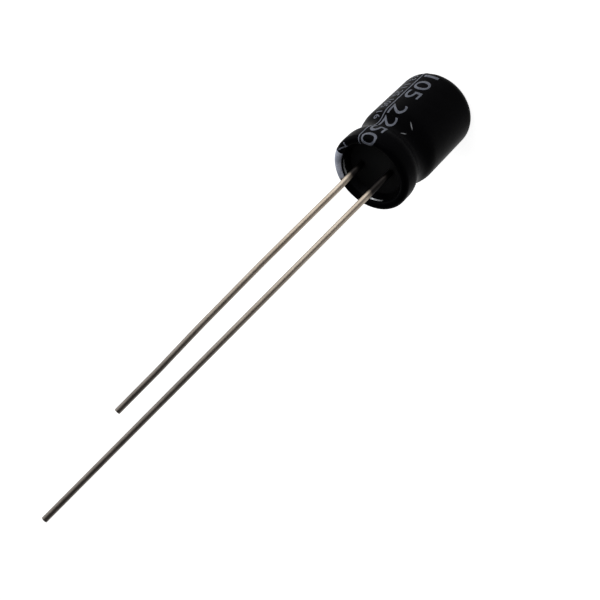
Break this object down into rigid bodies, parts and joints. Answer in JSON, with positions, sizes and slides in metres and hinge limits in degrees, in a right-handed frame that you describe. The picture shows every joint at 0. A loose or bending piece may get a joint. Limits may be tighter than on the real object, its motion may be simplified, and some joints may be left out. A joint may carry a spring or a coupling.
{
  "type": "electrolytic capacitor",
  "caption": "Radial electrolytic capacitor: beaded aluminium can in a black shrink sleeve with a grey negative stripe, sealed by a rubber bung, with long tinned leads bent to one side.",
  "frame": {"origin": "middle of the closed end, in the plane of the sleeve's lip that the body stands on", "axes": "+Z along the can's axis from the closed end to the leads, +X from the cathode lead to the anode lead"},
  "size_m": [0.0148, 0.0197, 0.0397],
  "materials": {
    "sleeve_film": "glossy shrunk film",
    "print_ink": "matt ink",
    "can_metal": "bright drawn",
    "bung_rubber": "moulded matt",
    "winding": "etched foil wound up with damp paper",
    "tape_film": "adhesive tape",
    "tab_metal": "pressed",
    "tinned_wire": "dull tinned"
  },
  "bodies": {
    "root": {"sleeve": "sleeve_film", "sleeve_print": "print_ink", "can": "can_metal", "bung": "bung_rubber", "wound_element": "winding", "closing_tape": "tape_film", "anode_tab": "tab_metal", "cathode_tab": "tab_metal", "anode_lead": "tinned_wire", "cathode_lead": "tinned_wire"}
  },
  "joints": []
}
